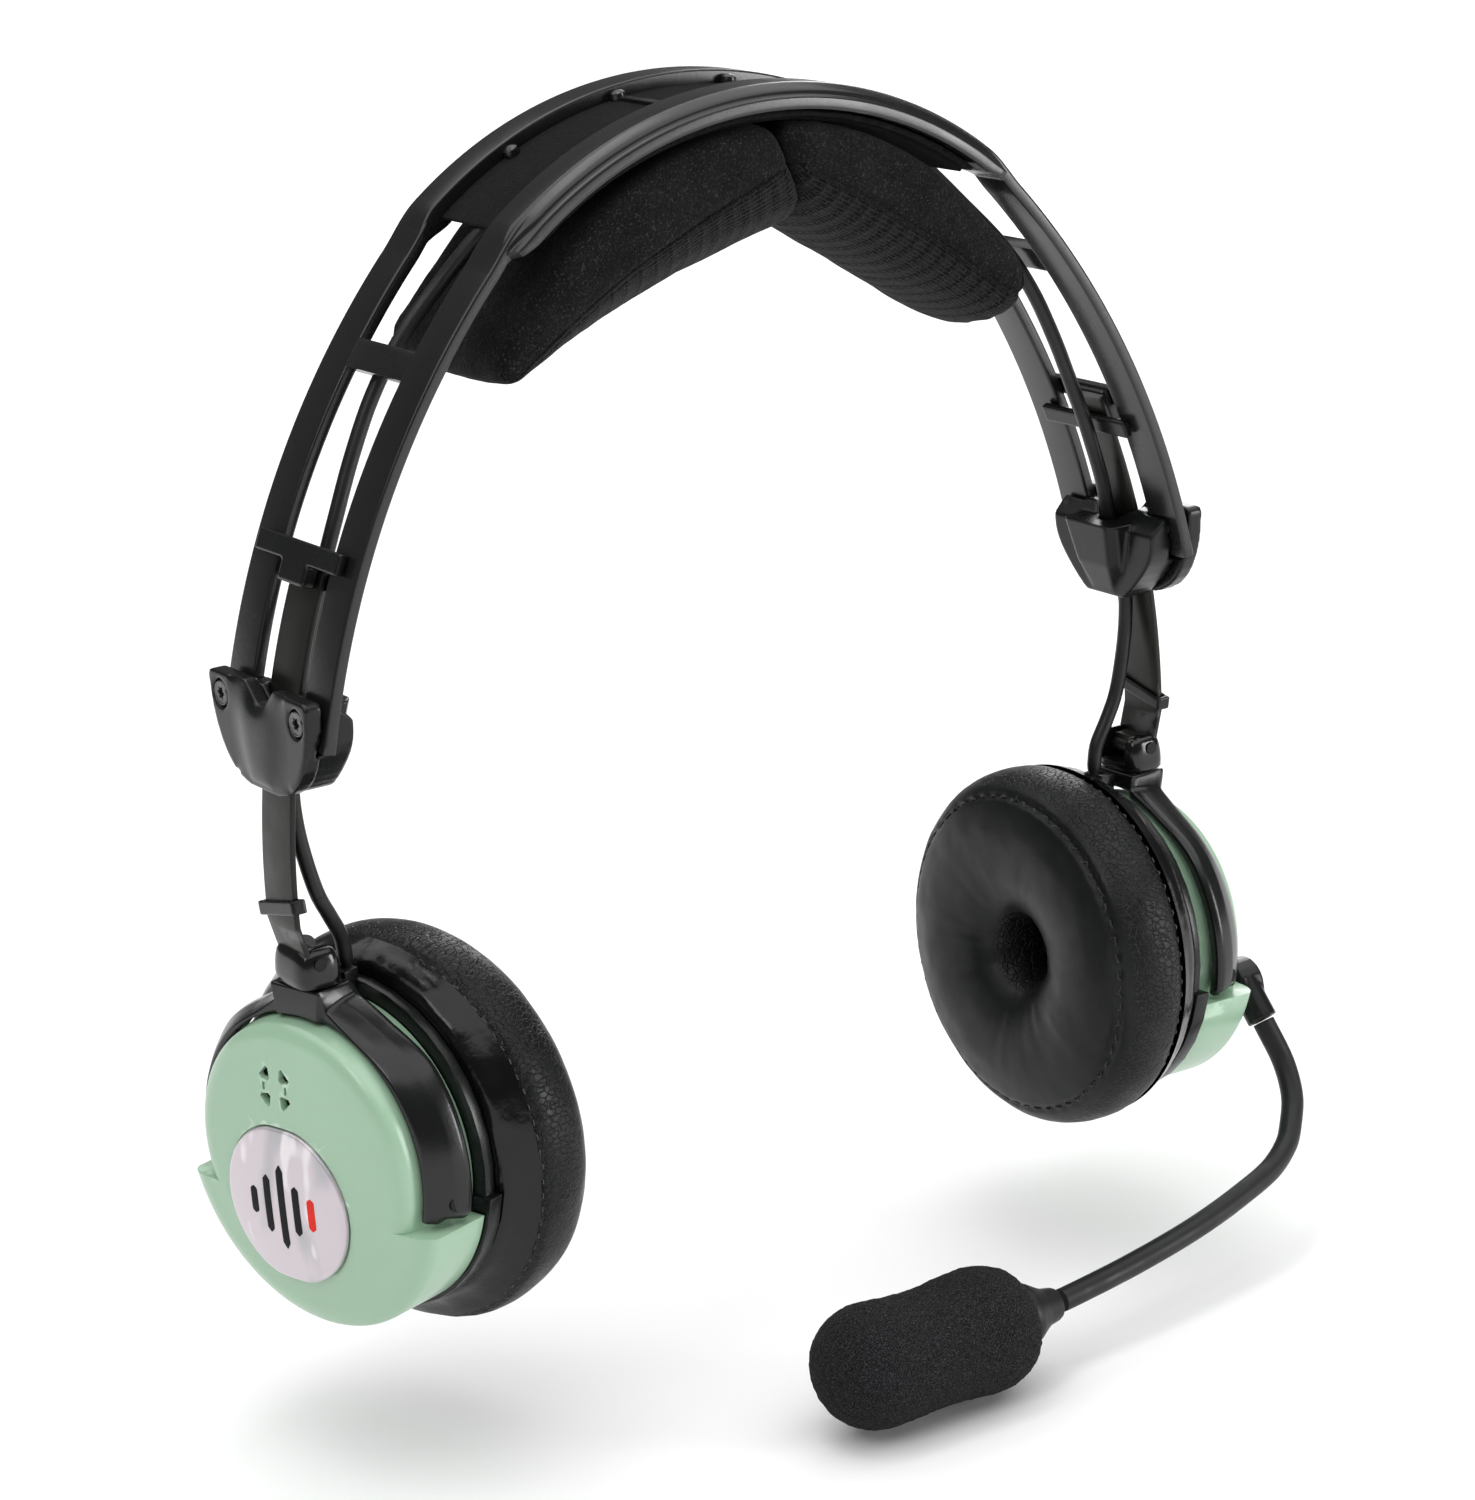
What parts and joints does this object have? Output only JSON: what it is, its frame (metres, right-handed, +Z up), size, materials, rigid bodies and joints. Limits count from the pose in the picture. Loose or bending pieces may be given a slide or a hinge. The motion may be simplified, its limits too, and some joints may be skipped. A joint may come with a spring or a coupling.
{
  "type": "aviation headset",
  "caption": "On-ear aviation headset: open-rail headband with a padded crown, sliding arms, swivelling yokes, tilting ear cups and a gooseneck boom microphone.",
  "frame": {"origin": "midway between the two ear cushions, at the height of the ear cups' centres, where the head holds it", "axes": "+Z up, +X to the wearer's left (the boom's side), -Y the way the wearer faces"},
  "size_m": [0.2106, 0.1062, 0.2369],
  "materials": {
    "black_plastic": "satin moulded",
    "gloss_black": "polished",
    "painted_steel": "satin painted spring steel",
    "sage_plastic": "glossy moulded",
    "leather": "fine-grained, soft",
    "velour": "napped pile and mesh knit",
    "hook_loop": "hook-and-loop",
    "acoustic_cloth": "open weave",
    "foam": "open-cell foam",
    "steel": "brushed",
    "silver": "domed, satin silver",
    "rubber": "smooth cable jacket",
    "board": "solder mask"
  },
  "bodies": {
    "band": {"headband_frame": "black_plastic", "hook_strip_rear": "hook_loop", "hook_strip_front": "hook_loop", "head_pad_left": "velour", "head_pad_right": "velour", "crossover_cable": "rubber", "clamp_outer_left": "black_plastic", "clamp_inner_left": "black_plastic", "clamp_screw_rear_left": "steel", "clamp_screw_front_left": "steel", "clamp_outer_right": "black_plastic", "clamp_inner_right": "black_plastic", "clamp_screw_rear_right": "steel", "clamp_screw_front_right": "steel"},
    "arm_left": {"arm_strip_left": "painted_steel", "arm_foot_left": "painted_steel", "arm_keeper_left": "black_plastic", "slide_clip_outer_left": "black_plastic", "slide_clip_inner_left": "black_plastic", "cable_arm_left": "rubber"},
    "knuckle_left": {"knuckle_left": "gloss_black", "fold_pin_left": "steel"},
    "yoke_left": {"yoke_left": "black_plastic", "tilt_pin_rear_left": "steel", "tilt_pin_front_left": "steel", "cable_tail_left": "rubber"},
    "cup_left": {"ear_cushion_left": "leather", "cushion_skirt_left": "gloss_black", "driver_cover_left": "acoustic_cloth", "speaker_driver_left": "steel", "ear_shell_left": "black_plastic", "circuit_board_left": "board", "ear_cap_left": "sage_plastic", "cap_badge_left": "silver"},
    "arm_right": {"arm_strip_right": "painted_steel", "arm_foot_right": "painted_steel", "arm_keeper_right": "black_plastic", "slide_clip_outer_right": "black_plastic", "slide_clip_inner_right": "black_plastic", "cable_arm_right": "rubber"},
    "knuckle_right": {"knuckle_right": "gloss_black", "fold_pin_right": "steel"},
    "yoke_right": {"yoke_right": "black_plastic", "tilt_pin_rear_right": "steel", "tilt_pin_front_right": "steel", "cable_tail_right": "rubber"},
    "cup_right": {"ear_cushion_right": "leather", "cushion_skirt_right": "gloss_black", "driver_cover_right": "acoustic_cloth", "speaker_driver_right": "steel", "ear_shell_right": "black_plastic", "circuit_board_right": "board", "ear_cap_right": "sage_plastic", "cap_badge_right": "silver"},
    "boom": {"boom_hub": "black_plastic", "gooseneck_base": "rubber"},
    "mic": {"gooseneck_front": "rubber", "mic_collar": "rubber", "mic_capsule": "steel", "mic_windscreen": "foam"}
  },
  "joints": [
    {"name": "slide_left", "type": "hinge", "parent": "band", "child": "arm_left", "pos_m": [-0.06, 0, 0.0475], "axis": [0, 1, 0], "range_deg": [-6.2, 5.3], "deforming": ["crossover_cable", "cable_arm_left"]},
    {"name": "fold_left", "type": "hinge", "parent": "arm_left", "child": "knuckle_left", "pos_m": [0.093, 0, 0.037], "axis": [0, 1, 0], "range_deg": [-6, 20], "deforming": ["cable_arm_left", "cable_tail_left"]},
    {"name": "swivel_left", "type": "hinge", "parent": "knuckle_left", "child": "yoke_left", "pos_m": [0.093, 0, 0.0324], "axis": [0, 0, 1], "range_deg": [-26.7, 23.3], "deforming": ["cable_tail_left", "cable_arm_left"]},
    {"name": "tilt_left", "type": "hinge", "parent": "yoke_left", "child": "cup_left", "pos_m": [0.0903, -0.00008, -0.0035], "axis": [-0.0297, 0.9996, 0], "range_deg": [-8, 1], "deforming": ["cable_tail_left"]},
    {"name": "slide_right", "type": "hinge", "parent": "band", "child": "arm_right", "pos_m": [0.06, 0, 0.0475], "axis": [0, -1, 0], "range_deg": [-6.2, 5.3], "deforming": ["crossover_cable", "cable_arm_right"]},
    {"name": "fold_right", "type": "hinge", "parent": "arm_right", "child": "knuckle_right", "pos_m": [-0.093, 0, 0.037], "axis": [0, -1, 0], "range_deg": [-6, 20], "deforming": ["cable_arm_right", "cable_tail_right"]},
    {"name": "swivel_right", "type": "hinge", "parent": "knuckle_right", "child": "yoke_right", "pos_m": [-0.093, 0, 0.0324], "axis": [0, 0, 1], "range_deg": [-40.4, 9.6], "deforming": ["cable_tail_right", "cable_arm_right"]},
    {"name": "tilt_right", "type": "hinge", "parent": "yoke_right", "child": "cup_right", "pos_m": [-0.0904, 0.00072, -0.0035], "axis": [0.2656, -0.9641, 0], "range_deg": [-8, 1], "deforming": ["cable_tail_right"]},
    {"name": "boom_swivel", "type": "hinge", "parent": "cup_left", "child": "boom", "pos_m": [0.1, -0.0195, -0.011], "axis": [1, 0, 0], "range_deg": [-100, 50]},
    {"name": "mic_bend", "type": "hinge", "parent": "boom", "child": "mic", "pos_m": [0.0991, -0.0383, -0.0352], "axis": [0, 0, 1], "range_deg": [-20, 20], "deforming": ["gooseneck_front", "gooseneck_base"]}
  ]
}
